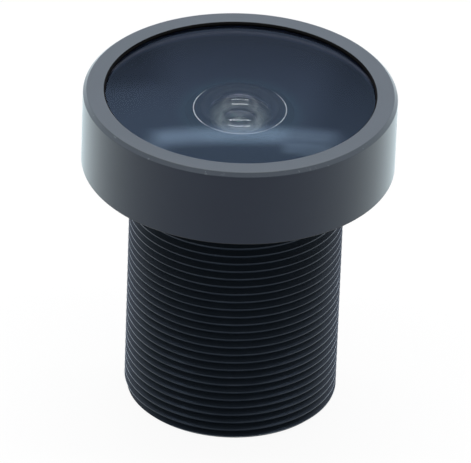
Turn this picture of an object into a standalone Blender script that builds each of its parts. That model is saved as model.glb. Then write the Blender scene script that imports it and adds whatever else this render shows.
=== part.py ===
"""Wide-angle board lens with a wide head and a fine-pitch threaded barrel.

The rear end face lies on the XY plane, centred on the origin, and the optical axis is +Z.
Every size is in metres. The stack of elements is worked out from the rear end to the front window,
so each piece seats on the one behind it. The dome of the front glass stands just proud of the rim.
"""

import math

import bmesh
import bpy

# Barrel, an M12 x 0.5 thread turned on a plain tube
THREAD_MAJOR_RADIUS = 0.0060
THREAD_PITCH = 0.0005
THREAD_DEPTH = 0.00031
THREAD_START_TURN = 0.544
REAR_CHAMFER = 0.0002
RELIEF_LENGTH = 0.0007
RELIEF_DEPTH = 0.0004
UNDERCUT_DEPTH = 0.0001
UNDERCUT_ROOM = 0.0001
FRONT_BORE_WALL = 0.00107
REAR_BORE_WALL = 0.00147
BORE_MOUTH_CHAMFER = 0.00015
RIB_THICKNESS = 0.0006

# Head, a cup that holds the front lens and a cap that closes over it
WINDOW_RADIUS = 0.0075
LIP_OVERLAP = 0.00038
LIP_THICKNESS = 0.0002
CUP_WALL = 0.00035
CUP_FLOOR = 0.00145
CAP_WALL = 0.00045
CAP_TOP_CHAMFER = 0.0002
WINDOW_EDGE_CHAMFER = 0.0001
CAP_EDGE_CHAMFER = 0.0001

# Seal between the front lens and the floor of the cup
SEAL_CORD_RADIUS = 0.00024
SEAL_SIDE_ROOM = 0.00006
SEAL_INSET = 0.0006

# Clearances: across a turned fit, along a seat, and in the cap's thread
FIT_GAP = 0.00002
SEAT_GAP = 0.00001
CAP_FIT_GAP = 0.00005

# Front lens: a weak dome in front, a deep round hollow behind
FRONT_LENS_THICKNESS = 0.0010
FRONT_LENS_RISE = 0.00037
FRONT_LENS_HOLLOW_RADIUS = 0.0026
FRONT_LENS_HOLLOW_DEPTH = 0.0023

# Second lens: weak dome in front, round hollow behind
LENS_2_THICKNESS = 0.00086
LENS_2_FRONT_RISE = 0.00028
LENS_2_FRONT_SEAT = 0.0012
LENS_2_HOLLOW_DEPTH = 0.00141
LENS_2_HOLLOW_SEAT = 0.0022

# Third lens: thick, domed on both sides
LENS_3_THICKNESS = 0.0027
LENS_3_FRONT_RISE = 0.001015
LENS_3_REAR_RISE = 0.00042
LENS_3_SEAT = 0.0012

# Fourth lens, behind the stop
LENS_4_THICKNESS = 0.0018
LENS_4_FRONT_RISE = 0.000515
LENS_4_REAR_RISE = 0.00038
LENS_4_SEAT = 0.0012

# Cemented pair: lens 5 lies in the hollow of lens 6
LENS_5_THICKNESS = 0.0030
LENS_5_FRONT_RISE = 0.00096
LENS_5_EDGE_LAND = 0.0001
CEMENTED_RISE = 0.00141
CEMENTED_SEAT = 0.0008
LENS_6_THICKNESS = 0.0006
LENS_6_REAR_RISE = 0.000365
LENS_6_REAR_SEAT = 0.0008

# Rear lens
REAR_LENS_THICKNESS = 0.0025
REAR_LENS_FRONT_RISE = 0.0010
REAR_LENS_REAR_RISE = 0.00075
REAR_LENS_SEAT = 0.0006

# Air between neighbours whose domes face each other, and spacers where a hollow faces a dome
AIR_BEHIND_LENS_4 = 0.00045
AIR_BEHIND_LENS_6 = 0.00045
FRONT_SPACER_HEIGHT = 0.00057
SECOND_SPACER_HEIGHT = 0.00094

# Stop and light shields, blackened metal and film washers
STOP_THICKNESS = 0.00008
STOP_APERTURE_RADIUS = 0.0016
STOP_TO_LENS_4 = 0.0001
SHIELD_THICKNESS = 0.00005
FRONT_SHIELD_LAND = 0.00037
SECOND_SPACER_LAND = 0.0003

# Retaining ring that is screwed in from the rear, with a slot across it for a spanner
RING_RECESS = 0.000375
RING_HEIGHT = 0.0019
RING_FLARE = 0.0003
RING_SLOT_WIDTH = 0.0008
RING_SLOT_DEPTH = 0.0005

# Finishes: linear colours, and how rough the polished and the blackened faces are
GLASS_TINT = (0.86, 0.90, 0.95)
BARREL_BLACK = (0.018, 0.020, 0.026)
CAP_BLUE_BLACK = (0.055, 0.062, 0.080)
RING_BLACK = (0.020, 0.021, 0.025)
SPACER_BLACK = (0.020, 0.020, 0.022)
FILM_BLACK = (0.010, 0.010, 0.010)
RUBBER_BLACK = (0.012, 0.012, 0.012)
POLISHED = 0.02
SATIN = 0.38
TURNED = 0.42
BLACKENED = 0.55
RUBBERY = 0.75

# Fineness of the round forms
HEAD_SEGMENTS = 48
STACK_SEGMENTS = 32
SEAL_CORD_SIDES = 8
DOME_STEP = math.radians(13)
SMOOTH_ANGLE = math.radians(35)
MERGE_DISTANCE = 1e-7
ROWS_PER_TURN = 2
SPARE_TURNS = 2

# Radii worked out from the thread inwards
ROOT_RADIUS = THREAD_MAJOR_RADIUS - THREAD_DEPTH
RELIEF_RADIUS = THREAD_MAJOR_RADIUS - RELIEF_DEPTH
UNDERCUT_RADIUS = THREAD_MAJOR_RADIUS + UNDERCUT_ROOM
REAR_FACE_RADIUS = THREAD_MAJOR_RADIUS - REAR_CHAMFER
FRONT_BORE_RADIUS = ROOT_RADIUS - FRONT_BORE_WALL
REAR_BORE_RADIUS = ROOT_RADIUS - REAR_BORE_WALL
FRONT_STACK_RADIUS = FRONT_BORE_RADIUS - FIT_GAP
REAR_STACK_RADIUS = REAR_BORE_RADIUS - FIT_GAP

# Radii worked out from the window outwards
FRONT_LENS_RADIUS = WINDOW_RADIUS + LIP_OVERLAP
CUP_RADIUS = FRONT_LENS_RADIUS + FIT_GAP
CUP_OUTER_RADIUS = CUP_RADIUS + CUP_WALL
CAP_BORE_RADIUS = CUP_OUTER_RADIUS + CAP_FIT_GAP
HEAD_RADIUS = CAP_BORE_RADIUS + CAP_WALL
SEAL_RADIUS = CUP_RADIUS - SEAL_INSET
SEAL_GROOVE_DEPTH = 2 * SEAL_CORD_RADIUS + SEAT_GAP
SEAL_GROOVE_HALF_WIDTH = SEAL_CORD_RADIUS + SEAL_SIDE_ROOM

# Clear radii of the elements
LENS_2_FRONT_CLEAR = FRONT_STACK_RADIUS - LENS_2_FRONT_SEAT
LENS_2_HOLLOW_CLEAR = FRONT_STACK_RADIUS - LENS_2_HOLLOW_SEAT
LENS_3_CLEAR = FRONT_STACK_RADIUS - LENS_3_SEAT
LENS_4_CLEAR = REAR_STACK_RADIUS - LENS_4_SEAT
CEMENTED_CLEAR = REAR_STACK_RADIUS - CEMENTED_SEAT
LENS_5_RADIUS = CEMENTED_CLEAR + LENS_5_EDGE_LAND
LENS_6_REAR_CLEAR = REAR_STACK_RADIUS - LENS_6_REAR_SEAT
REAR_LENS_CLEAR = REAR_STACK_RADIUS - REAR_LENS_SEAT

# Edge thickness of each element, from its thickness at the centre and the rise of its two faces
FRONT_LENS_EDGE = FRONT_LENS_THICKNESS - FRONT_LENS_RISE + FRONT_LENS_HOLLOW_DEPTH
LENS_2_EDGE = LENS_2_THICKNESS - LENS_2_FRONT_RISE + LENS_2_HOLLOW_DEPTH
LENS_3_EDGE = LENS_3_THICKNESS - LENS_3_FRONT_RISE - LENS_3_REAR_RISE
LENS_4_EDGE = LENS_4_THICKNESS - LENS_4_FRONT_RISE - LENS_4_REAR_RISE
LENS_5_EDGE = LENS_5_THICKNESS - LENS_5_FRONT_RISE - CEMENTED_RISE
LENS_6_EDGE = LENS_6_THICKNESS + CEMENTED_RISE - LENS_6_REAR_RISE
REAR_LENS_EDGE = REAR_LENS_THICKNESS - REAR_LENS_FRONT_RISE - REAR_LENS_REAR_RISE

# Heights of the seats, from the rear end face to the front
RING_TOP = RING_RECESS + RING_HEIGHT
REAR_LENS_SEAT_Z = RING_TOP + SEAT_GAP
REAR_LENS_TOP = REAR_LENS_SEAT_Z + REAR_LENS_EDGE
LENS_6_SEAT_Z = REAR_LENS_TOP + REAR_LENS_FRONT_RISE + AIR_BEHIND_LENS_6 + LENS_6_REAR_RISE
LENS_6_TOP = LENS_6_SEAT_Z + LENS_6_EDGE
LENS_5_SEAT_Z = LENS_6_TOP + SEAT_GAP
LENS_5_TOP = LENS_5_SEAT_Z + LENS_5_EDGE
LENS_4_SEAT_Z = LENS_5_TOP + LENS_5_FRONT_RISE + AIR_BEHIND_LENS_4 + LENS_4_REAR_RISE
LENS_4_TOP = LENS_4_SEAT_Z + LENS_4_EDGE
STOP_SEAT_Z = LENS_4_TOP + LENS_4_FRONT_RISE + STOP_TO_LENS_4
RIB_BOTTOM = STOP_SEAT_Z + STOP_THICKNESS + SEAT_GAP
RIB_TOP = RIB_BOTTOM + RIB_THICKNESS
LENS_3_SEAT_Z = RIB_TOP + SEAT_GAP
LENS_3_TOP = LENS_3_SEAT_Z + LENS_3_EDGE
SECOND_SPACER_Z = LENS_3_TOP + SEAT_GAP
SECOND_SHIELD_Z = SECOND_SPACER_Z + SECOND_SPACER_HEIGHT + SEAT_GAP
LENS_2_SEAT_Z = SECOND_SHIELD_Z + SHIELD_THICKNESS + SEAT_GAP
LENS_2_TOP = LENS_2_SEAT_Z + LENS_2_EDGE
FRONT_SPACER_Z = LENS_2_TOP + SEAT_GAP
FRONT_SHIELD_Z = FRONT_SPACER_Z + FRONT_SPACER_HEIGHT
CUP_FLOOR_Z = FRONT_SHIELD_Z + SHIELD_THICKNESS
FRONT_LENS_SEAT_Z = CUP_FLOOR_Z + SEAT_GAP
FRONT_LENS_TOP = FRONT_LENS_SEAT_Z + FRONT_LENS_EDGE
LIP_Z = FRONT_LENS_TOP + SEAT_GAP
RIM_Z = LIP_Z + LIP_THICKNESS
HEAD_Z = CUP_FLOOR_Z - CUP_FLOOR
THREAD_TOP = HEAD_Z - RELIEF_LENGTH


def finish_material(name, colour, roughness, metallic=0.0, transmission=0.0):
    """One finish with the piece's colour, roughness and metallic value."""
    material = bpy.data.materials.new(name)
    material.use_nodes = True
    shader = material.node_tree.nodes["Principled BSDF"]
    shader.inputs["Base Color"].default_value = (*colour, 1.0)
    shader.inputs["Roughness"].default_value = roughness
    shader.inputs["Metallic"].default_value = metallic
    shader.inputs["Transmission Weight"].default_value = transmission
    return material


def add_piece(name, form, height, material):
    """Turn a bmesh into a named object that stands at a height on the optical axis."""
    bmesh.ops.recalc_face_normals(form, faces=form.faces)
    mesh = bpy.data.meshes.new(name)
    form.to_mesh(mesh)
    form.free()
    mesh.materials.append(material)
    mesh.shade_smooth()
    mesh.set_sharp_from_angle(angle=SMOOTH_ANGLE)
    piece = bpy.data.objects.new(name, mesh)
    piece.location = (0, 0, height)
    piece.parent = optical_axis
    bpy.context.scene.collection.objects.link(piece)
    return piece


def spin_outline(form, outline, segments, closed):
    """Spin a chain of (radius, height) points once around the optical axis."""
    corners = [form.verts.new((radius, 0, height)) for radius, height in outline]
    ends = corners[1:] + corners[:1] if closed else corners[1:]
    edges = [form.edges.new(pair) for pair in zip(corners, ends)]
    bmesh.ops.spin(form, geom=corners + edges, cent=(0, 0, 0), axis=(0, 0, 1),
                   angle=2 * math.pi, steps=segments, use_merge=True)
    bmesh.ops.remove_doubles(form, verts=form.verts, dist=MERGE_DISTANCE)


def turned_piece(name, outline, segments, height, material):
    """Turn a piece on the axis: an outline that starts on the axis is a disc, any other a ring."""
    form = bmesh.new()
    spin_outline(form, outline, segments, closed=outline[0][0] > 0)
    return add_piece(name, form, height, material)


def dome(clear_radius, rise):
    """Points of a spherical face from its rim to its centre, as heights above the rim."""
    sphere_radius = (clear_radius ** 2 + rise ** 2) / (2 * rise)
    half_angle = math.atan2(clear_radius, sphere_radius - rise)
    steps = max(2, round(half_angle / DOME_STEP))
    points = [(clear_radius, 0.0)]
    for step in range(steps - 1, 0, -1):
        angle = half_angle * step / steps
        points.append((sphere_radius * math.sin(angle), sphere_radius * (math.cos(angle) - 1) + rise))
    points.append((0.0, rise))
    return points


def lens_outline(radius, edge, rear_face, front_face, rear_side, front_side):
    """Outline of a lens whose rear seat is at height 0. A side is 1 for a dome and -1 for a hollow."""
    rear = [(reach, -rear_side * rise) for reach, rise in reversed(rear_face)]
    front = [(reach, edge + front_side * rise) for reach, rise in front_face]
    return rear + [(radius, 0.0), (radius, edge)] + front


def add_lens(name, radius, edge, rear_face, front_face, height, rear_side=1, front_side=1,
             segments=STACK_SEGMENTS):
    """One ground and polished glass element."""
    outline = lens_outline(radius, edge, rear_face, front_face, rear_side, front_side)
    glass = finish_material(name + "_glass", GLASS_TINT, POLISHED, transmission=1.0)
    return turned_piece(name, outline, segments, height, glass)


def add_ring(name, outer_radius, rear_bore, front_bore, thickness, height, colour, metallic):
    """A flat ring whose bore is straight or tapers from its rear face to its front face."""
    outline = [(outer_radius, 0.0), (outer_radius, thickness), (front_bore, thickness), (rear_bore, 0.0)]
    finish = finish_material(name + "_finish", colour, BLACKENED, metallic=metallic)
    return turned_piece(name, outline, STACK_SEGMENTS, height, finish)


def thread_point(column, row):
    """A point of the thread: even rows run along the crest and odd rows along the root."""
    turn = column / HEAD_SEGMENTS + THREAD_START_TURN + row / ROWS_PER_TURN - SPARE_TURNS
    height = THREAD_PITCH * turn
    if height <= 0:
        radius, height = REAR_FACE_RADIUS, 0.0
    elif height >= THREAD_TOP:
        radius, height = RELIEF_RADIUS, THREAD_TOP
    else:
        flank = THREAD_MAJOR_RADIUS if row % 2 == 0 else ROOT_RADIUS
        lead_in = REAR_FACE_RADIUS + height
        run_out = RELIEF_RADIUS + THREAD_TOP - height
        radius = min(flank, lead_in, run_out)
    angle = 2 * math.pi * column / HEAD_SEGMENTS
    return radius * math.cos(angle), radius * math.sin(angle), height


def cut_thread(form):
    """Skin the right-hand thread as a grid that climbs one pitch, two rows, in each turn."""
    rows = ROWS_PER_TURN * math.ceil(THREAD_TOP / THREAD_PITCH + SPARE_TURNS + 1)
    grid = [[form.verts.new(thread_point(column, row)) for row in range(rows)]
            for column in range(HEAD_SEGMENTS)]
    for column in range(HEAD_SEGMENTS):
        wraps = column == HEAD_SEGMENTS - 1
        here = grid[column]
        beside = grid[0][ROWS_PER_TURN:] if wraps else grid[column + 1]
        for row in range(len(beside) - 1):
            form.faces.new((here[row], beside[row], beside[row + 1], here[row + 1]))
    bmesh.ops.remove_doubles(form, verts=form.verts, dist=MERGE_DISTANCE)


def rim_at(form, height, inner):
    """The open rim at a height, outer or inner, as its corners in order of angle."""
    rim = {corner for edge in form.edges if edge.is_boundary for corner in edge.verts
           if abs(corner.co.z - height) < MERGE_DISTANCE}
    reaches = [corner.co.xy.length for corner in rim]
    middle = (min(reaches) + max(reaches)) / 2
    chosen = [corner for corner in rim if (corner.co.xy.length < middle) == inner]
    return sorted(chosen, key=lambda corner: math.atan2(corner.co.y, corner.co.x) % (2 * math.pi))


def close_level(form, height):
    """Close the flat annulus between two rims at one height, which may differ in their corners."""
    outer, inner = rim_at(form, height, inner=False), rim_at(form, height, inner=True)
    out_step = in_step = 0
    while out_step < len(outer) or in_step < len(inner):
        here, there = outer[out_step % len(outer)], inner[in_step % len(inner)]
        if (out_step + 1) / len(outer) <= (in_step + 1) / len(inner):
            out_step += 1
            form.faces.new((here, outer[out_step % len(outer)], there))
        else:
            in_step += 1
            form.faces.new((here, inner[in_step % len(inner)], there))


def add_barrel():
    """Threaded barrel, head cup and stepped bore, turned in one piece.

    The relief above the thread is undercut into the head, so its underside seats outside the crests.
    """
    form = bmesh.new()
    cut_thread(form)
    groove_floor = CUP_FLOOR_Z - SEAL_GROOVE_DEPTH
    groove_outer = SEAL_RADIUS + SEAL_GROOVE_HALF_WIDTH
    groove_inner = SEAL_RADIUS - SEAL_GROOVE_HALF_WIDTH
    spin_outline(form, [
        (RELIEF_RADIUS, THREAD_TOP),
        (RELIEF_RADIUS, HEAD_Z + UNDERCUT_DEPTH),
        (UNDERCUT_RADIUS, HEAD_Z + UNDERCUT_DEPTH),
        (UNDERCUT_RADIUS, HEAD_Z),
        (CUP_OUTER_RADIUS, HEAD_Z),
        (CUP_OUTER_RADIUS, FRONT_LENS_TOP),
        (CUP_RADIUS, FRONT_LENS_TOP),
        (CUP_RADIUS, CUP_FLOOR_Z),
        (groove_outer, CUP_FLOOR_Z),
        (groove_outer, groove_floor),
        (groove_inner, groove_floor),
        (groove_inner, CUP_FLOOR_Z),
    ], HEAD_SEGMENTS, closed=False)
    spin_outline(form, [
        (FRONT_BORE_RADIUS, CUP_FLOOR_Z),
        (FRONT_BORE_RADIUS, RIB_TOP),
        (LENS_3_CLEAR, RIB_TOP),
        (LENS_3_CLEAR, RIB_BOTTOM),
        (REAR_BORE_RADIUS, RIB_BOTTOM),
        (REAR_BORE_RADIUS, BORE_MOUTH_CHAMFER),
        (REAR_BORE_RADIUS + BORE_MOUTH_CHAMFER, 0.0),
    ], STACK_SEGMENTS, closed=False)
    close_level(form, CUP_FLOOR_Z)
    close_level(form, 0.0)
    black = finish_material("barrel_black_anodise", BARREL_BLACK, TURNED, metallic=0.6)
    return add_piece("barrel", form, 0.0, black)


def add_front_cap():
    """Cap that covers the whole head: its skirt is the head's wall and its lip holds the glass."""
    lip_height = LIP_Z - HEAD_Z
    top = RIM_Z - HEAD_Z
    outline = [
        (HEAD_RADIUS - CAP_EDGE_CHAMFER, 0.0),
        (HEAD_RADIUS, CAP_EDGE_CHAMFER),
        (HEAD_RADIUS, top - CAP_TOP_CHAMFER),
        (HEAD_RADIUS - CAP_TOP_CHAMFER, top),
        (WINDOW_RADIUS + WINDOW_EDGE_CHAMFER, top),
        (WINDOW_RADIUS, top - WINDOW_EDGE_CHAMFER),
        (WINDOW_RADIUS, lip_height),
        (CAP_BORE_RADIUS, lip_height),
        (CAP_BORE_RADIUS, 0.0),
    ]
    satin = finish_material("front_cap_satin_anodise", CAP_BLUE_BLACK, SATIN, metallic=0.7)
    return turned_piece("front_cap", outline, HEAD_SEGMENTS, HEAD_Z, satin)


def add_seal_ring():
    """Rubber cord ring in the groove under the edge of the front lens."""
    outline = []
    for side in range(SEAL_CORD_SIDES):
        angle = 2 * math.pi * side / SEAL_CORD_SIDES
        outline.append((SEAL_RADIUS + SEAL_CORD_RADIUS * math.cos(angle),
                        SEAL_CORD_RADIUS * (1 + math.sin(angle))))
    rubber = finish_material("seal_ring_rubber", RUBBER_BLACK, RUBBERY)
    groove_floor = CUP_FLOOR_Z - SEAL_GROOVE_DEPTH
    return turned_piece("seal_ring", outline, STACK_SEGMENTS, groove_floor + SEAT_GAP, rubber)


def add_front_stack():
    """Elements in front of the rib: they drop in from the head, on top of each other."""
    add_lens("lens_3", FRONT_STACK_RADIUS, LENS_3_EDGE, dome(LENS_3_CLEAR, LENS_3_REAR_RISE),
             dome(LENS_3_CLEAR, LENS_3_FRONT_RISE), LENS_3_SEAT_Z)
    spacer_mouth = LENS_2_HOLLOW_CLEAR + SECOND_SPACER_LAND
    add_ring("second_spacer", FRONT_STACK_RADIUS, LENS_3_CLEAR, spacer_mouth, SECOND_SPACER_HEIGHT,
             SECOND_SPACER_Z, SPACER_BLACK, 0.5)
    add_ring("second_light_shield", FRONT_STACK_RADIUS, LENS_2_HOLLOW_CLEAR, LENS_2_HOLLOW_CLEAR,
             SHIELD_THICKNESS, SECOND_SHIELD_Z, FILM_BLACK, 0.0)
    add_lens("lens_2", FRONT_STACK_RADIUS, LENS_2_EDGE, dome(LENS_2_HOLLOW_CLEAR, LENS_2_HOLLOW_DEPTH),
             dome(LENS_2_FRONT_CLEAR, LENS_2_FRONT_RISE), LENS_2_SEAT_Z, rear_side=-1)
    add_ring("front_spacer", FRONT_STACK_RADIUS, LENS_2_FRONT_CLEAR, LENS_2_FRONT_CLEAR,
             FRONT_SPACER_HEIGHT, FRONT_SPACER_Z, SPACER_BLACK, 0.5)
    shield_bore = LENS_2_FRONT_CLEAR - FRONT_SHIELD_LAND
    add_ring("front_light_shield", FRONT_STACK_RADIUS, shield_bore, shield_bore,
             SHIELD_THICKNESS - SEAT_GAP, FRONT_SHIELD_Z + SEAT_GAP, FILM_BLACK, 0.0)
    add_lens("front_lens", FRONT_LENS_RADIUS, FRONT_LENS_EDGE,
             dome(FRONT_LENS_HOLLOW_RADIUS, FRONT_LENS_HOLLOW_DEPTH), dome(WINDOW_RADIUS, FRONT_LENS_RISE),
             FRONT_LENS_SEAT_Z, rear_side=-1, segments=HEAD_SEGMENTS)


def add_rear_stack():
    """Stop and elements behind the rib: they go in from the rear and the ring holds them."""
    add_ring("aperture_stop", REAR_STACK_RADIUS, STOP_APERTURE_RADIUS, STOP_APERTURE_RADIUS,
             STOP_THICKNESS, STOP_SEAT_Z, FILM_BLACK, 0.3)
    add_ring("stop_spacer", REAR_STACK_RADIUS, LENS_4_CLEAR, LENS_4_CLEAR,
             STOP_SEAT_Z - LENS_4_TOP - 2 * SEAT_GAP, LENS_4_TOP + SEAT_GAP, SPACER_BLACK, 0.5)
    add_lens("lens_4", REAR_STACK_RADIUS, LENS_4_EDGE, dome(LENS_4_CLEAR, LENS_4_REAR_RISE),
             dome(LENS_4_CLEAR, LENS_4_FRONT_RISE), LENS_4_SEAT_Z)
    nest_radius = LENS_5_RADIUS + FIT_GAP
    add_ring("third_spacer", REAR_STACK_RADIUS, nest_radius, nest_radius,
             LENS_4_SEAT_Z - LENS_6_TOP - 2 * SEAT_GAP, LENS_6_TOP + SEAT_GAP, SPACER_BLACK, 0.5)
    add_lens("lens_5", LENS_5_RADIUS, LENS_5_EDGE, dome(CEMENTED_CLEAR, CEMENTED_RISE),
             dome(CEMENTED_CLEAR, LENS_5_FRONT_RISE), LENS_5_SEAT_Z)
    add_lens("lens_6", REAR_STACK_RADIUS, LENS_6_EDGE, dome(LENS_6_REAR_CLEAR, LENS_6_REAR_RISE),
             dome(CEMENTED_CLEAR, CEMENTED_RISE), LENS_6_SEAT_Z, front_side=-1)
    add_ring("rear_spacer", REAR_STACK_RADIUS, REAR_LENS_CLEAR, LENS_6_REAR_CLEAR,
             LENS_6_SEAT_Z - REAR_LENS_TOP - 2 * SEAT_GAP, REAR_LENS_TOP + SEAT_GAP,
             SPACER_BLACK, 0.5)
    add_lens("rear_lens", REAR_STACK_RADIUS, REAR_LENS_EDGE, dome(REAR_LENS_CLEAR, REAR_LENS_REAR_RISE),
             dome(REAR_LENS_CLEAR, REAR_LENS_FRONT_RISE), REAR_LENS_SEAT_Z)


def add_slot_cutter():
    """Bar that lies across the rear face of the retaining ring and cuts its two spanner slots."""
    form = bmesh.new()
    bmesh.ops.create_cube(form, size=1.0)
    length = 2 * REAR_BORE_RADIUS + RING_SLOT_WIDTH
    bmesh.ops.scale(form, vec=(length, RING_SLOT_WIDTH, 2 * RING_SLOT_DEPTH), verts=form.verts)
    mesh = bpy.data.meshes.new("ring_slot_cutter")
    form.to_mesh(mesh)
    form.free()
    cutter = bpy.data.objects.new("ring_slot_cutter", mesh)
    cutter.location = (0, 0, RING_RECESS)
    cutter.parent = optical_axis
    cutter.hide_render = True
    cutter.display_type = "WIRE"
    bpy.context.scene.collection.objects.link(cutter)
    return cutter


def add_retaining_ring():
    """Screwed ring behind the rear lens: its bore flares to the rear, and two slots take a spanner."""
    ring = add_ring("retaining_ring", REAR_STACK_RADIUS, REAR_LENS_CLEAR + RING_FLARE, REAR_LENS_CLEAR,
                    RING_HEIGHT, RING_RECESS, RING_BLACK, 0.6)
    slots = ring.modifiers.new("spanner slots", "BOOLEAN")
    slots.operation = "DIFFERENCE"
    slots.solver = "EXACT"
    slots.object = add_slot_cutter()
    return ring


for old_object in list(bpy.data.objects):
    bpy.data.objects.remove(old_object, do_unlink=True)

optical_axis = bpy.data.objects.new("optical_axis", None)
bpy.context.scene.collection.objects.link(optical_axis)

add_barrel()
add_front_cap()
add_seal_ring()
add_front_stack()
add_rear_stack()
add_retaining_ring()
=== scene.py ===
"""Looks of a wide-angle board lens: a threaded barrel, its glass, and the wide cap on its head.

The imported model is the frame. Each section dresses one piece, in the order in which a lens is put
together, and the floor, the light and the camera come last.
"""

import math

import bmesh
import bpy
from mathutils import Matrix, Vector


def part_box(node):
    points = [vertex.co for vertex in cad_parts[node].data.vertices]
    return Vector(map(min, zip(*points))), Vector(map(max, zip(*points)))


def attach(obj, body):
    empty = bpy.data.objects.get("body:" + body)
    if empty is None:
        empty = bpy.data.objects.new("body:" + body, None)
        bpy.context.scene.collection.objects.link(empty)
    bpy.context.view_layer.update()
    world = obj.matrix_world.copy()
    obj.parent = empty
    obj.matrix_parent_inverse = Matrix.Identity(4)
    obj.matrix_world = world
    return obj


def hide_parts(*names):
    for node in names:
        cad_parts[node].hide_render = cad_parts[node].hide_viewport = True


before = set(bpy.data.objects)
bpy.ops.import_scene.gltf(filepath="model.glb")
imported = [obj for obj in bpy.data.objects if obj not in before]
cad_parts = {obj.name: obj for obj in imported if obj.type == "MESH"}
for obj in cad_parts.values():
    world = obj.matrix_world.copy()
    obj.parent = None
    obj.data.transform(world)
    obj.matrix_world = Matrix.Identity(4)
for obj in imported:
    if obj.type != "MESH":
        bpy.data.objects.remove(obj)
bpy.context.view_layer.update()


# Threaded barrel
# Black anodised aluminium, turned in one piece: a fine right-hand thread outside, a cup for the
# front glass on top and a stepped bore through it. The thread climbs by a rule, so nodes cut it.

MM = 0.001


class Flow:
    """What comes out of a node. Arithmetic on it adds Math nodes."""

    def __init__(self, graph, socket):
        self.graph = graph
        self.socket = socket

    def math(self, operation, *others):
        """A Math node whose first value is this one."""
        values = dict(enumerate((self, *others)))
        return self.graph.add("ShaderNodeMath", {"operation": operation}, values)

    def beside(self, name):
        """Another output of the same node."""
        return Flow(self.graph, self.socket.node.outputs[name])

    def __add__(self, other):
        return self.math("ADD", other)

    def __radd__(self, other):
        return self.math("ADD", other)

    def __sub__(self, other):
        return self.math("SUBTRACT", other)

    def __rsub__(self, other):
        return self.graph.add("ShaderNodeMath", {"operation": "SUBTRACT"}, {0: other, 1: self})

    def __mul__(self, other):
        return self.math("MULTIPLY", other)

    def __rmul__(self, other):
        return self.math("MULTIPLY", other)

    def __truediv__(self, other):
        return self.math("DIVIDE", other)

    def __rtruediv__(self, other):
        return self.graph.add("ShaderNodeMath", {"operation": "DIVIDE"}, {0: other, 1: self})

    def __mod__(self, other):
        return self.math("FLOORED_MODULO", other)


class Graph:
    """A node tree that is being built. Every kind of node is added by the same method."""

    def __init__(self, tree):
        self.tree = tree
        tree.nodes.clear()

    def add(self, kind, settings=None, values=None, output=0):
        """Add a node: its settings come first, then the values or links of its inputs."""
        node = self.tree.nodes.new(kind)
        for name, setting in (settings or {}).items():
            setattr(node, name, setting)
        for name, value in (values or {}).items():
            if isinstance(value, Flow):
                self.tree.links.new(value.socket, node.inputs[name])
            else:
                node.inputs[name].default_value = value
        return Flow(self, node.outputs[output]) if node.outputs else None


thread_radius = 6.0 * MM
thread_depth = 0.31 * MM
thread_pitch = 0.5 * MM
thread_start = 0.544
thread_columns = 432
flat_share = 0.125
weld_distance = 0.0002 * MM
grain_depth = 0.004 * MM
rear_chamfer = 0.2 * MM
relief_radius = 5.6 * MM
relief_length = 0.7 * MM
undercut_radius = 6.1 * MM
undercut_depth = 0.1 * MM
front_bore = 4.62 * MM
rear_bore = 4.22 * MM
rib_bore = 3.4 * MM
mouth_chamfer = 0.15 * MM
seal_groove = (6.98 * MM, 7.6 * MM)
seal_groove_depth = 0.49 * MM
cup_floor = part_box("front_lens")[0][2] - 0.01 * MM
cup_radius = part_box("front_lens")[1][0] + 0.02 * MM
cup_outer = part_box("barrel")[1][0]
cup_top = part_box("barrel")[1][2]
head_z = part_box("front_cap")[0][2]
rib_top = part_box("lens_3")[0][2]
rib_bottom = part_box("aperture_stop")[1][2] + 0.01 * MM


def thread_nodes():
    """The thread as a grid that is rolled up and climbs one pitch in each turn."""
    tree = bpy.data.node_groups.new("Helical thread", "GeometryNodeTree")
    sizes = ("Crest Radius", "Depth", "Pitch", "Start Turn", "Rear Radius", "Relief Radius", "Length")
    for name in sizes:
        tree.interface.new_socket(name, in_out="INPUT", socket_type="NodeSocketFloat")
    tree.interface.new_socket("Columns", in_out="INPUT", socket_type="NodeSocketInt")
    tree.interface.new_socket("Finish", in_out="INPUT", socket_type="NodeSocketMaterial")
    tree.interface.new_socket("Thread", in_out="OUTPUT", socket_type="NodeSocketGeometry")
    graph = Graph(tree)
    given = graph.add("NodeGroupInput")
    crest, depth, pitch, start, rear, relief, length = (given.beside(name) for name in sizes)
    columns = given.beside("Columns")
    spare_turns = 2
    rows_per_turn = 4
    rows = ((length / pitch).math("CEIL") + spare_turns + 1) * rows_per_turn
    sheet = graph.add("GeometryNodeMeshGrid", values={
        "Size X": columns, "Size Y": rows - 1, "Vertices X": columns + 1, "Vertices Y": rows,
    })
    spot = graph.add("ShaderNodeSeparateXYZ", values={"Vector": graph.add("GeometryNodeInputPosition")})
    column = spot + columns / 2
    row = (spot.beside("Y") + (rows - 1) / 2).math("ROUND")
    step = row % rows_per_turn
    on_root = step.math("GREATER_THAN", 1.5)
    phase = on_root * 0.5 + (step % 2) * flat_share - flat_share / 2
    turn = (row - step) / rows_per_turn - spare_turns + column / columns + start + phase
    height = (turn * pitch).math("MAXIMUM", 0.0).math("MINIMUM", length)
    radius = (crest - on_root * depth).math("MINIMUM", rear + height)
    radius = radius.math("MINIMUM", relief + length - height)
    angle = column * 2 * math.pi / columns
    rolled = graph.add("ShaderNodeCombineXYZ", values={
        "X": radius * angle.math("COSINE"), "Y": radius * angle.math("SINE"), "Z": height,
    })
    skin = graph.add("GeometryNodeSetPosition", values={"Geometry": sheet, "Position": rolled})
    closed = graph.add("GeometryNodeMergeByDistance", values={
        "Geometry": skin, "Distance": weld_distance,
    })
    real = graph.add("GeometryNodeRealizeInstances", values={"Geometry": closed})
    dressed = graph.add("GeometryNodeSetMaterial", values={
        "Geometry": real, "Material": given.beside("Finish"),
    })
    graph.add("NodeGroupOutput", values={"Thread": dressed})
    return tree


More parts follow.
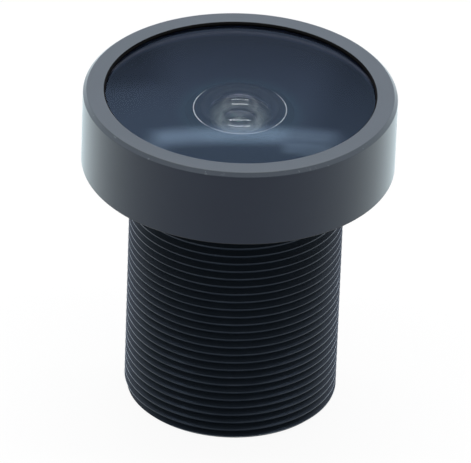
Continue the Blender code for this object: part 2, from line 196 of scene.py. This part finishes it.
def grown_mesh(name, tree, inputs):
    """Run a node tree with these inputs and keep what it makes as a plain mesh."""
    carrier = bpy.data.objects.new(name, bpy.data.meshes.new(name))
    bpy.context.scene.collection.objects.link(carrier)
    modifier = carrier.modifiers.new(name, "NODES")
    modifier.node_group = tree
    for item in tree.interface.items_tree:
        if item.in_out == "INPUT" and item.name in inputs:
            modifier[item.identifier] = inputs[item.name]
    ready = carrier.evaluated_get(bpy.context.evaluated_depsgraph_get())
    mesh = bpy.data.meshes.new_from_object(ready)
    bpy.data.objects.remove(carrier)
    return mesh


def add_turned(form, outline, segments):
    """Turn a chain of (radius, height) points about the optical axis into a bmesh."""
    rings = []
    for radius, height in outline:
        if radius == 0:
            rings.append([form.verts.new((0, 0, height))] * segments)
        else:
            rings.append([
                form.verts.new((radius * math.cos(angle), radius * math.sin(angle), height))
                for angle in (2 * math.pi * step / segments for step in range(segments))
            ])
    for low, high in zip(rings, rings[1:]):
        for step in range(segments):
            ahead = (step + 1) % segments
            corners = dict.fromkeys((low[step], low[ahead], high[ahead], high[step]))
            form.faces.new(list(corners))


def place_piece(name, mesh, finishes, replaced, sharp_angle=math.radians(25)):
    """Put a finished mesh in the scene, on its body, in place of its CAD nodes."""
    mesh.name = name
    for finish in finishes:
        mesh.materials.append(finish)
    mesh.shade_smooth()
    mesh.set_sharp_from_angle(angle=sharp_angle)
    piece = bpy.data.objects.new(name, mesh)
    bpy.context.scene.collection.objects.link(piece)
    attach(piece, "root")
    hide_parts(*replaced)
    return piece


def new_finish(name):
    """An empty material and the graph of its nodes."""
    material = bpy.data.materials.new(name)
    material.use_nodes = True
    return material, Graph(material.node_tree)


def spot_on(graph):
    """Where a point of the piece is, in millimetres."""
    point = graph.add("ShaderNodeTexCoord", output="Object")
    return graph.add("ShaderNodeVectorMath", {"operation": "SCALE"}, {"Vector": point, "Scale": 1 / MM})


def radius_at(point):
    """How far a point is from the optical axis."""
    x = point.graph.add("ShaderNodeSeparateXYZ", values={"Vector": point})
    y = x.beside("Y")
    return (x * x + y * y).math("SQRT")


def noise(graph, vector, scale, detail=2.0, roughness=0.5):
    """Soft noise from 0 to 1."""
    return graph.add("ShaderNodeTexNoise", {"noise_dimensions": "3D"}, {
        "Vector": vector, "Scale": scale, "Detail": detail, "Roughness": roughness,
    })


def bumped(graph, height, strength):
    """A normal that follows a fine grain."""
    return graph.add("ShaderNodeBump", values={
        "Strength": strength, "Distance": grain_depth, "Height": height,
    })


def ramped(value, low, high):
    """0 below low, 1 above high and smooth between them."""
    return value.graph.add("ShaderNodeMapRange", {"interpolation_type": "SMOOTHSTEP"}, {
        "Value": value, "From Min": low, "From Max": high,
    })


def blended(graph, share, first, second):
    """A colour between two, by a share from 0 to 1."""
    return graph.add("ShaderNodeMix", {"data_type": "RGBA"}, {
        "Factor": share, 6: first, 7: second,
    }, output=2)


def anodised_black():
    """Barrel finish: dark dye with a fine grain and a little wear on the crests."""
    material, graph = new_finish("Black anodised thread")
    point = spot_on(graph)
    cloud = noise(graph, point, 0.9, 3.0)
    grain = noise(graph, point, 26.0, 2.0)
    wear = ramped(radius_at(point), 5.93, 5.985) * ramped(grain * 0.6 + cloud * 0.4, 0.45, 0.75)
    dyed = blended(graph, cloud, (0.0014, 0.0026, 0.0044, 1), (0.0034, 0.0054, 0.0080, 1))
    worn = blended(graph, wear, dyed, (0.024, 0.030, 0.038, 1))
    shader = graph.add("ShaderNodeBsdfPrincipled", values={
        "Base Color": worn,
        "Roughness": 0.30 + grain * 0.16,
        "Specular IOR Level": 0.40,
        "Specular Tint": (0.32, 0.44, 0.66, 1),
        "Sheen Weight": 1.0,
        "Sheen Roughness": 0.405,
        "Sheen Tint": (0.64, 0.81, 0.96, 1),
        "Normal": bumped(graph, grain, 0.12),
    })
    graph.add("ShaderNodeOutputMaterial", values={"Surface": shader})
    return material


barrel_finish = anodised_black()
thread_mesh = grown_mesh("thread", thread_nodes(), {
    "Crest Radius": thread_radius, "Depth": thread_depth, "Pitch": thread_pitch,
    "Start Turn": thread_start, "Rear Radius": thread_radius - rear_chamfer,
    "Relief Radius": relief_radius, "Length": head_z - relief_length,
    "Columns": thread_columns, "Finish": barrel_finish,
})
barrel_form = bmesh.new()
barrel_form.from_mesh(thread_mesh)
add_turned(barrel_form, [
    (relief_radius, head_z - relief_length),
    (relief_radius, head_z + undercut_depth),
    (undercut_radius, head_z + undercut_depth),
    (undercut_radius, head_z),
    (cup_outer, head_z),
    (cup_outer, cup_top),
    (cup_radius, cup_top),
    (cup_radius, cup_floor),
    (seal_groove[1], cup_floor),
    (seal_groove[1], cup_floor - seal_groove_depth),
    (seal_groove[0], cup_floor - seal_groove_depth),
    (seal_groove[0], cup_floor),
    (front_bore, cup_floor),
    (front_bore, rib_top),
    (rib_bore, rib_top),
    (rib_bore, rib_bottom),
    (rear_bore, rib_bottom),
    (rear_bore, mouth_chamfer),
    (rear_bore + mouth_chamfer, 0.0),
    (thread_radius - rear_chamfer, 0.0),
], thread_columns)
bmesh.ops.remove_doubles(barrel_form, verts=barrel_form.verts, dist=weld_distance)
bmesh.ops.recalc_face_normals(barrel_form, faces=barrel_form.faces)
barrel_mesh = bpy.data.meshes.new("threaded_barrel")
barrel_form.to_mesh(barrel_mesh)
barrel_form.free()
place_piece("threaded_barrel", barrel_mesh, [barrel_finish], ["barrel"])


# Retaining ring
# Black anodised ring that is screwed into the rear bore and holds the rear elements. It keeps its
# CAD shape, with the two spanner slots, and gets a turned finish.

def turned_black(name, colour, roughness, ring_pitch=0.06):
    """Blackened metal with fine turning rings."""
    material, graph = new_finish(name)
    point = spot_on(graph)
    cloud = noise(graph, point, 1.3, 3.0)
    rings = (radius_at(point) * (2 * math.pi / ring_pitch)).math("SINE")
    grain = noise(graph, point, 30.0, 2.0)
    light = tuple(min(1.0, channel * 1.5) for channel in colour)
    shader = graph.add("ShaderNodeBsdfPrincipled", values={
        "Base Color": blended(graph, cloud, (*colour, 1), (*light, 1)),
        "Roughness": roughness + grain * 0.15,
        "IOR": 1.5,
        "Normal": bumped(graph, rings * 0.4 + grain, 0.15),
    })
    graph.add("ShaderNodeOutputMaterial", values={"Surface": shader})
    return material


def dress_node(name, finish):
    """Give a CAD node that keeps its shape a better finish."""
    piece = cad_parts[name]
    piece.data.materials.clear()
    piece.data.materials.append(finish)


dress_node("retaining_ring", turned_black("Retaining ring anodise", (0.010, 0.011, 0.013), 0.32))


# Spacers, stop and light shields
# Matte black rings and film washers that set the distances between the elements and keep stray
# light off the sensor. They are plain turned rings and punched film, so their CAD shape stays.

spacer_finish = turned_black("Blackened spacer", (0.008, 0.0085, 0.010), 0.5)
film_finish = turned_black("Black shield film", (0.006, 0.006, 0.007), 0.62, ring_pitch=0.3)
for spacer in ("front_spacer", "second_spacer", "stop_spacer", "third_spacer", "rear_spacer"):
    dress_node(spacer, spacer_finish)
for washer in ("front_light_shield", "second_light_shield", "aperture_stop"):
    dress_node(washer, film_finish)


# Seal ring
# Moulded rubber cord in a groove under the edge of the front glass. The glass presses it flat enough
# to keep dust and damp out of the barrel, so little of it shows and its CAD shape stays.

def rubber():
    """Matte rubber with a fine mould texture."""
    material, graph = new_finish("Seal rubber")
    grain = noise(graph, spot_on(graph), 22.0, 3.0)
    shader = graph.add("ShaderNodeBsdfPrincipled", values={
        "Base Color": blended(graph, grain, (0.008, 0.008, 0.008, 1), (0.016, 0.016, 0.016, 1)),
        "Roughness": 0.6 + grain * 0.2,
        "Normal": bumped(graph, grain, 0.2),
    })
    graph.add("ShaderNodeOutputMaterial", values={"Surface": shader})
    return material


dress_node("seal_ring", rubber())


# Inner elements
# Small ground and polished lenses. Their faces are spheres, their edges are ground and painted
# black, and a thin coating tints what they mirror. Each is turned here with a fine round face.

stack_segments = 96
element_tint = (0.93, 0.97, 0.95)
green_coating = (0.12, 0.24, 0.18)
violet_coating = (0.16, 0.14, 0.32)
uncoated = (1, 1, 1)


def sphere_face(clear_radius, rise, steps=20):
    """A spherical face from its rim to its centre, as heights above the rim."""
    sphere_radius = (clear_radius ** 2 + rise ** 2) / (2 * rise)
    half_angle = math.atan2(clear_radius, sphere_radius - rise)
    face = [(clear_radius, 0.0)]
    for step in range(steps - 1, 0, -1):
        angle = half_angle * step / steps
        face.append((sphere_radius * math.sin(angle), sphere_radius * (math.cos(angle) - 1) + rise))
    return face + [(0.0, rise)]


def polished_glass(name, tint, ior=1.52, coating=uncoated, film_thickness=0.0, veil=0.0,
                   clean_radius=0.0):
    """Clear glass with the faintest haze, and a veil of dust that is thinner in its clean middle.

    The coating tints what the glass mirrors, and a film gives it colours that change with the angle.
    """
    material, graph = new_finish(name)
    point = spot_on(graph)
    haze = noise(graph, point, 1.1, 4.0, 0.6)
    clear = graph.add("ShaderNodeBsdfPrincipled", values={
        "Base Color": (*tint, 1),
        "Roughness": ramped(haze, 0.45, 0.9) * 0.02,
        "IOR": ior,
        "Transmission Weight": 1.0,
        "Specular Tint": (*coating, 1),
        "Thin Film Thickness": film_thickness,
        "Thin Film IOR": 1.38,
    })
    dust = graph.add("ShaderNodeBsdfDiffuse", values={"Color": (0.62, 0.70, 0.68, 1)})
    outside = ramped(radius_at(point), clean_radius - 0.25, clean_radius + 0.25)
    share = (haze * 0.6 + 0.7) * (outside * 0.95 + 0.05) * veil
    dusty = graph.add("ShaderNodeMixShader", values={0: share, 1: clear, 2: dust})
    graph.add("ShaderNodeOutputMaterial", values={"Surface": dusty})
    return material


def edge_paint_and_painted_shade(name, colour):
    """Black paint on ground glass, as seen through it and from outside. On the cap the same dull black
    is painted shade.
    """
    material, graph = new_finish(name)
    cloud = noise(graph, spot_on(graph), 2.0, 3.0)
    dark = tuple(channel * 0.6 for channel in colour)
    shader = graph.add("ShaderNodeBsdfPrincipled", values={
        "Base Color": blended(graph, cloud, (*dark, 1), (*colour, 1)),
        "Roughness": 0.55 + cloud * 0.2,
        "Specular IOR Level": 0.05,
    })
    graph.add("ShaderNodeOutputMaterial", values={"Surface": shader})
    return material


def inner_lens(node, rear, front, clear_rear, clear_front, coating, ior=1.52, veil=0.0,
               clean_radius=0.0):
    """One inner element. Rear and front are the rises of its faces, and a hollow one is negative."""
    low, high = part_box(node)
    radius = high[0]
    rear_seat = low[2] + max(rear, 0.0)
    front_seat = high[2] - max(front, 0.0)
    rear_face = [(reach, rear_seat - math.copysign(rise, rear))
                 for reach, rise in reversed(sphere_face(clear_rear, abs(rear)))]
    front_face = [(reach, front_seat + math.copysign(rise, front))
                  for reach, rise in sphere_face(clear_front, abs(front))]
    form = bmesh.new()
    add_turned(form, rear_face + [(radius, rear_seat), (radius, front_seat)] + front_face,
               stack_segments)
    bmesh.ops.recalc_face_normals(form, faces=form.faces)
    for face in form.faces:
        middle = face.calc_center_median()
        reach = middle.xy.length
        behind = middle.z < (rear_seat + front_seat) / 2
        face.material_index = int(reach > (clear_rear if behind else clear_front))
    mesh = bpy.data.meshes.new(node)
    form.to_mesh(mesh)
    form.free()
    finishes = [
        polished_glass(node + " glass", element_tint, ior, coating, 0.0, veil, clean_radius),
        edge_paint_and_painted_shade(node + " edge paint", (0.006, 0.006, 0.007)),
    ]
    return place_piece(node + "_element", mesh, finishes, [node], math.radians(5))


inner_lens("rear_lens", 0.75 * MM, 1.0 * MM, 3.6 * MM, 3.6 * MM, green_coating)
inner_lens("lens_6", 0.365 * MM, -1.41 * MM, 3.4 * MM, 3.4 * MM, violet_coating, 1.7)
inner_lens("lens_5", 1.41 * MM, 0.96 * MM, 3.4 * MM, 3.4 * MM, green_coating)
inner_lens("lens_4", 0.38 * MM, 0.515 * MM, 3.0 * MM, 3.0 * MM, violet_coating)
inner_lens("lens_3", 0.42 * MM, 1.015 * MM, 3.4 * MM, 3.4 * MM, green_coating, 1.7)
inner_lens("lens_2", -1.41 * MM, 0.28 * MM, 2.4 * MM, 3.4 * MM, uncoated,
           veil=0.24, clean_radius=1.45)


# Front glass
# Weakly domed glass with a deep round hollow behind, ground and polished. Its seat, bevels and edge
# are painted black, so it looks dark round the clear middle. The paint has a painted glow round the
# hollow and a painted highlight at the edge's corner, and the ground line round the hollow has painted
# glints. A thin film makes its dome blue.

glass_segments = 192
glass_tint = (0.95, 0.98, 1.0)
dome_film_nm = 197.0
hollow_radius = 2.51 * MM
hollow_depth = 1.86 * MM
hollow_steps = 60
hollow_bevel = 0.44 * MM
hollow_line = 0.05 * MM
dome_rise = 0.37 * MM
dome_steps = 12
dome_radius = 7.5 * MM
edge_bevel_width = 0.35 * MM
edge_bevel_height = 1.0 * MM
dome_side, hollow_side, painted, hollow_ground = range(4)


def front_glass():
    """The front element, with its painted seat, bevel and edge."""
    low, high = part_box("front_lens")
    seat, flange = low[2], high[2] - dome_rise
    radius = high[0]
    foot = seat + hollow_bevel
    hollow = [(reach, foot + rise)
              for reach, rise in reversed(sphere_face(hollow_radius, hollow_depth, hollow_steps))]
    dome = [(reach, flange + rise) for reach, rise in sphere_face(dome_radius, dome_rise, dome_steps)]
    outline = hollow + [
        (hollow_radius + hollow_line, foot - hollow_line),
        (hollow_radius + hollow_bevel, seat),
        (radius - edge_bevel_width, seat),
        (radius, seat + edge_bevel_height),
        (radius, flange),
    ] + dome
    form = bmesh.new()
    add_turned(form, outline, glass_segments)
    bmesh.ops.recalc_face_normals(form, faces=form.faces)
    for face in form.faces:
        middle = face.calc_center_median()
        reach = middle.xy.length
        if middle.z > flange + weld_distance:
            face.material_index = dome_side
        elif reach < hollow_radius:
            face.material_index = hollow_side
        elif reach < hollow_radius + hollow_line:
            face.material_index = hollow_ground
        else:
            face.material_index = painted
    mesh = bpy.data.meshes.new("front_glass")
    form.to_mesh(mesh)
    form.free()
    return mesh


def rear_paint_with_painted_light():
    """Black paint on the seat and the edge, with a painted glow round the hollow and a painted
    highlight band at the edge's corner.
    """
    material, graph = new_finish("Black paint behind glass with painted light")
    point = spot_on(graph)
    radius = radius_at(point)
    height = graph.add("ShaderNodeSeparateXYZ", values={"Vector": point}, output="Z")
    cloud = noise(graph, point, 2.0, 3.0)
    edge = ramped(radius, 7.70, 7.80)
    # Painted highlight: a pale band round the edge wall, from about 16.8 to 17.5 mm high.
    corner = ramped(height, 16.78, 17.10) * (1 - ramped(height, 17.10, 17.50))
    seat = blended(graph, cloud, (0.0007, 0.0013, 0.0080, 1), (0.0012, 0.0022, 0.0130, 1))
    # Painted glow: the seat turns a lighter teal within about 3.8 mm of the axis.
    seat = blended(graph, 1 - ramped(radius, 2.7, 3.8), seat, (0.006, 0.020, 0.030, 1))
    wall = blended(graph, corner, (0.030, 0.042, 0.080, 1), (0.22, 0.23, 0.30, 1))
    shader = graph.add("ShaderNodeBsdfPrincipled", values={
        "Base Color": blended(graph, edge, seat, wall),
        "Roughness": 0.55 + cloud * 0.2,
        "Specular IOR Level": 0.05,
    })
    graph.add("ShaderNodeOutputMaterial", values={"Surface": shader})
    return material


def hollow_ground_line_with_painted_glints():
    """The narrow ground line round the hollow, with painted glints that make it palest at its two sides
    and lighter at the front.
    """
    material, graph = new_finish("Ground line of the hollow with painted glints")
    point = spot_on(graph)
    x = graph.add("ShaderNodeSeparateXYZ", values={"Vector": point})
    radius = radius_at(point)
    # Painted glints: the line's colour is lightest at its two sides and lighter at the front, by where
    # it lies round the axis.
    side = ramped((x / radius).math("ABSOLUTE"), 0.62, 0.85)
    front = 1 - ramped(x.beside("Y") / radius, -0.95, -0.75)
    grain = noise(graph, point, 3.0, 3.0)
    painted_glint = (side + front * 0.4) * (grain * 0.8 + 0.5)
    shader = graph.add("ShaderNodeBsdfPrincipled", values={
        "Base Color": blended(graph, painted_glint, (0.10, 0.11, 0.14, 1), (0.95, 0.97, 1.0, 1)),
        "Roughness": 0.4 + grain * 0.2,
        "Specular IOR Level": 0.05,
    })
    graph.add("ShaderNodeOutputMaterial", values={"Surface": shader})
    return material


front_finishes = [
    polished_glass("Front glass coated dome", glass_tint, film_thickness=dome_film_nm),
    polished_glass("Front glass hollow", glass_tint, veil=0.02),
    rear_paint_with_painted_light(),
    hollow_ground_line_with_painted_glints(),
]
place_piece("front_glass", front_glass(), front_finishes, ["front_lens"], math.radians(3))


# Head cap
# Satin blue-black anodised aluminium. Its skirt is the whole wall of the head and its lip is the
# flat rim around the glass, with a chamfer between them that handling has nicked.

cap_segments = 256
cap_chamfer = 0.2 * MM
window_edge_chamfer = 0.1 * MM
cap_lower_edge = 0.1 * MM
window_radius = 7.5 * MM
lip_thickness = 0.2 * MM
cap_bore = 8.3 * MM
eased_edge = 0.03 * MM


def satin_cap():
    """Cap finish: even satin on the wall, with nicks in the chamfer. The rim and the chamfer are
    lighter, partly from their finish and partly as painted light from above.
    """
    material, graph = new_finish("Satin blue-black anodise")
    point = spot_on(graph)
    height = graph.add("ShaderNodeSeparateXYZ", values={"Vector": point}, output="Z")
    cloud = noise(graph, point, 0.35, 4.0)
    grain = noise(graph, point, 18.0, 3.0, 0.6)
    rim = ramped(height, 19.15, 19.19)
    chamfer = ramped(height, 18.97, 19.01) * (1 - rim)
    nick = chamfer * ramped(noise(graph, point, 2.4, 4.0, 0.7), 0.60, 0.70)
    wall = blended(graph, cloud, (0.001, 0.005, 0.020, 1), (0.004, 0.011, 0.030, 1))
    # Painted light: the chamfer's and the rim's colours are lighter than the wall, partly for their
    # finish and partly as light from above painted in.
    turned = blended(graph, cloud, (0.038, 0.048, 0.064, 1), (0.052, 0.064, 0.084, 1))
    lapped_rim_with_painted_light = blended(graph, cloud, (0.044, 0.055, 0.066, 1), (0.058, 0.070, 0.086, 1))
    colour = blended(graph, chamfer, blended(graph, rim, wall, lapped_rim_with_painted_light), turned)
    colour = blended(graph, nick, colour, (0.12, 0.14, 0.16, 1))
    shader = graph.add("ShaderNodeBsdfPrincipled", values={
        "Base Color": colour,
        "Roughness": 0.34 + grain * 0.10,
        "Specular IOR Level": 0.25,
        "Sheen Weight": 1.0,
        "Sheen Roughness": 0.425,
        "Sheen Tint": (0.80, 0.96, 1.0, 1),
        "Normal": bumped(graph, grain, 0.15),
    })
    graph.add("ShaderNodeOutputMaterial", values={"Surface": shader})
    return material


def cap_mesh():
    """The cap as it is turned, with its inside and underside in a second finish: a dull black that is
    painted shade.
    """
    low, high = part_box("front_cap")
    foot, top, radius = low[2], high[2], high[0]
    form = bmesh.new()
    outline = [
        (radius - cap_lower_edge, foot),
        (radius, foot + cap_lower_edge),
        (radius, top - cap_chamfer),
        (radius - cap_chamfer, top),
        (window_radius + window_edge_chamfer, top),
        (window_radius, top - window_edge_chamfer),
        (window_radius, top - lip_thickness),
        (cap_bore, top - lip_thickness),
        (cap_bore, foot),
    ]
    add_turned(form, outline + outline[:1], cap_segments)
    bmesh.ops.remove_doubles(form, verts=form.verts, dist=weld_distance)
    bmesh.ops.recalc_face_normals(form, faces=form.faces)
    for face in form.faces:
        # Painted shade: the window's edge and the faces that look down get the dull black.
        inside = face.calc_center_median().xy.length < window_radius + window_edge_chamfer
        underneath = face.normal.z < -0.3
        face.material_index = int(inside or underneath)
    mesh = bpy.data.meshes.new("head_cap")
    form.to_mesh(mesh)
    form.free()
    return mesh


# The cap's dull black is painted shade on its window edge and underside.
cap_finishes = [satin_cap(), edge_paint_and_painted_shade("Dull black painted shade inside", (0.002, 0.002, 0.0024))]
cap = place_piece("head_cap", cap_mesh(), cap_finishes, ["front_cap"])
easing = cap.modifiers.new("eased edges", "BEVEL")
easing.width = eased_edge
easing.segments = 2
easing.limit_method = "ANGLE"
easing.angle_limit = math.radians(30)
easing.harden_normals = True


# Floor, light and camera
# A pale floor and a sky that the camera sees as white, two ceiling tubes, a far lamp panel that shows
# in the glass, and a long lens that looks down on the front of the object.

def seen_directly(graph):
    """1 for what the camera, metal and glass see of the set, and 0 for the light that it gives."""
    path = graph.add("ShaderNodeLightPath", output="Is Camera Ray")
    seen = path + path.beside("Is Glossy Ray") + path.beside("Is Transmission Ray")
    return seen.math("MINIMUM", 1.0)


def pale_floor():
    """Pale card that the camera sees as white, with the shadow on it. It is clear from below."""
    material, graph = new_finish("Pale floor card")
    card = graph.add("ShaderNodeBsdfDiffuse", values={"Color": (0.86, 0.86, 0.86, 1)})
    glow = graph.add("ShaderNodeEmission", values={"Color": (1, 1, 1, 1), "Strength": 1.0})
    both = graph.add("ShaderNodeMixShader", values={0: seen_directly(graph) * 0.93, 1: card, 2: glow})
    below = graph.add("ShaderNodeNewGeometry", output="Backfacing")
    graph.add("ShaderNodeOutputMaterial", values={"Surface": graph.add("ShaderNodeMixShader", values={
        0: below, 1: both, 2: graph.add("ShaderNodeBsdfTransparent"),
    })})
    return material


floor_half = 3.0
floor_z = -0.01 * MM
floor_mesh = bpy.data.meshes.new("floor")
floor_mesh.from_pydata([(-floor_half, -floor_half, floor_z), (floor_half, -floor_half, floor_z),
                        (floor_half, floor_half, floor_z), (-floor_half, floor_half, floor_z)],
                       [], [(0, 1, 2, 3)])
floor_mesh.materials.append(pale_floor())
floor = bpy.data.objects.new("floor", floor_mesh)
bpy.context.scene.collection.objects.link(floor)

world = bpy.data.worlds.new("Studio")
world.use_nodes = True
bpy.context.scene.world = world
sky = Graph(world.node_tree)
upward = sky.add("ShaderNodeSeparateXYZ", values={"Vector": sky.add("ShaderNodeTexCoord")}).beside("Z")
in_glass = sky.add("ShaderNodeLightPath", output="Is Transmission Ray")
dark_ceiling = in_glass * ramped(upward, 0.50, 0.75) * 0.85
sky_level = (seen_directly(sky) * 0.6 + 0.4) * (1 - dark_ceiling)
sky.add("ShaderNodeOutputWorld", values={
    "Surface": sky.add("ShaderNodeBackground", values={"Color": (1, 1, 1, 1), "Strength": sky_level}),
})


tube_distance = 0.5
tube_length = 0.56
tube_width = 0.055
tube_radiance = 14.0
head_middle = Vector((0, 0, 17.0 * MM))


def add_tube(name, elevation):
    """A ceiling tube that lies across the view, behind the lens, and faces its head."""
    lamp = bpy.data.lights.new(name, "AREA")
    lamp.shape = "RECTANGLE"
    lamp.size = tube_length
    lamp.size_y = tube_width
    lamp.energy = tube_radiance * math.pi * tube_length * tube_width
    tube = bpy.data.objects.new(name, lamp)
    turn, rise = math.radians(180), math.radians(elevation)
    aim = Vector((math.sin(turn) * math.cos(rise), -math.cos(turn) * math.cos(rise), math.sin(rise)))
    facing = aim.to_track_quat("Z", "Y").to_matrix().to_4x4()
    tube.matrix_world = Matrix.Translation(head_middle + aim * tube_distance) @ facing
    tube.visible_camera = False
    bpy.context.scene.collection.objects.link(tube)


add_tube("ceiling tube above", 90)
add_tube("ceiling tube behind", 62)


def lamp_panel():
    """A grey panel with a soft sloping strip of light, and a shorter one over its right end.

    The grey is brightest at the foot and lighter upwards, with a darker right side and left corner.
    """
    material, graph = new_finish("Far lamp panel")
    point = graph.add("ShaderNodeTexCoord", output="Object")
    x = graph.add("ShaderNodeSeparateXYZ", values={"Vector": point})
    z = x.beside("Z")
    climb = z + x * 0.13
    along = 0.88 + ramped(x, -0.032, -0.016) * 0.12 - ramped(x, 0.022, 0.038) * 0.42
    strip = ramped(climb, 0.390, 0.416) * (1 - ramped(climb, 0.420, 0.450)) * along
    over = ramped(climb, 0.430, 0.441) * (1 - ramped(climb, 0.452, 0.465))
    short = over * ramped(x, 0.026, 0.036) * 0.42
    ends = ramped(x, -0.066, -0.049) * (1 - ramped(x, 0.056, 0.072))
    foot = 1 - ramped(z, 0.16, 0.20)
    right_side = ramped(x, 0.034, 0.060)
    left_corner = (1 - ramped(x, -0.055, -0.028)) * (1 - ramped(z, 0.29, 0.33))
    grey = foot * 2.2 + ramped(z, 0.19, 0.42) * 0.64 + 0.38
    grey = grey * (1 - right_side * 0.3) * (1 - left_corner * 0.35)
    panel_light = graph.add("ShaderNodeVectorMath", {"operation": "SCALE"}, {
        "Vector": (0.89, 0.90, 1.12), "Scale": grey,
    })
    strip_light = blended(graph, (strip + short) * ends, (0.0, 0.0, 0.0, 1), (2.14, 2.05, 2.34, 1))
    graph.add("ShaderNodeOutputMaterial", values={"Surface": graph.add("ShaderNodeAddShader", values={
        0: graph.add("ShaderNodeEmission", values={"Color": panel_light}),
        1: graph.add("ShaderNodeEmission", values={"Color": strip_light}),
    })})
    return material


panel_far = 0.5
panel_half = 0.45
panel_low = 0.06
panel_high = 0.52
panel_mesh = bpy.data.meshes.new("lamp_panel")
panel_mesh.from_pydata([(-panel_half, panel_far, panel_low), (panel_half, panel_far, panel_low),
                        (panel_half, panel_far, panel_high), (-panel_half, panel_far, panel_high)],
                       [], [(0, 1, 2, 3)])
panel_mesh.materials.append(lamp_panel())
panel = bpy.data.objects.new("lamp_panel", panel_mesh)
bpy.context.scene.collection.objects.link(panel)
panel.visible_camera = False

view_elevation = math.radians(33.218)
view_roll = math.radians(2.118)
view_pan = math.radians(0.0004)
view_tilt = math.radians(1.1003)
view_distance = 0.442034
focal_pixels = 7782.681
frame_pixels = 471
sensor_width = 36.0

camera_data = bpy.data.cameras.new("camera")
camera_data.sensor_width = sensor_width
camera_data.lens = focal_pixels / frame_pixels * sensor_width
camera_data.clip_start = 0.01
camera_data.clip_end = 20.0
camera = bpy.data.objects.new("camera", camera_data)
eye = view_distance * Vector((0, -math.cos(view_elevation), math.sin(view_elevation)))
right = Vector((1, 0, 0))
ahead = -eye.normalized()
above = right.cross(ahead)
ahead = (ahead + math.tan(view_pan) * right + math.tan(view_tilt) * above).normalized()
right = ahead.cross(above).normalized()
above = right.cross(ahead)
level_right = math.cos(view_roll) * right + math.sin(view_roll) * above
level_up = math.cos(view_roll) * above - math.sin(view_roll) * right
turned = Matrix((level_right, level_up, -ahead)).transposed()
camera.matrix_world = Matrix.Translation(eye) @ turned.to_4x4()
bpy.context.scene.collection.objects.link(camera)
bpy.context.scene.camera = camera
bpy.context.scene.view_settings.view_transform = "Standard"
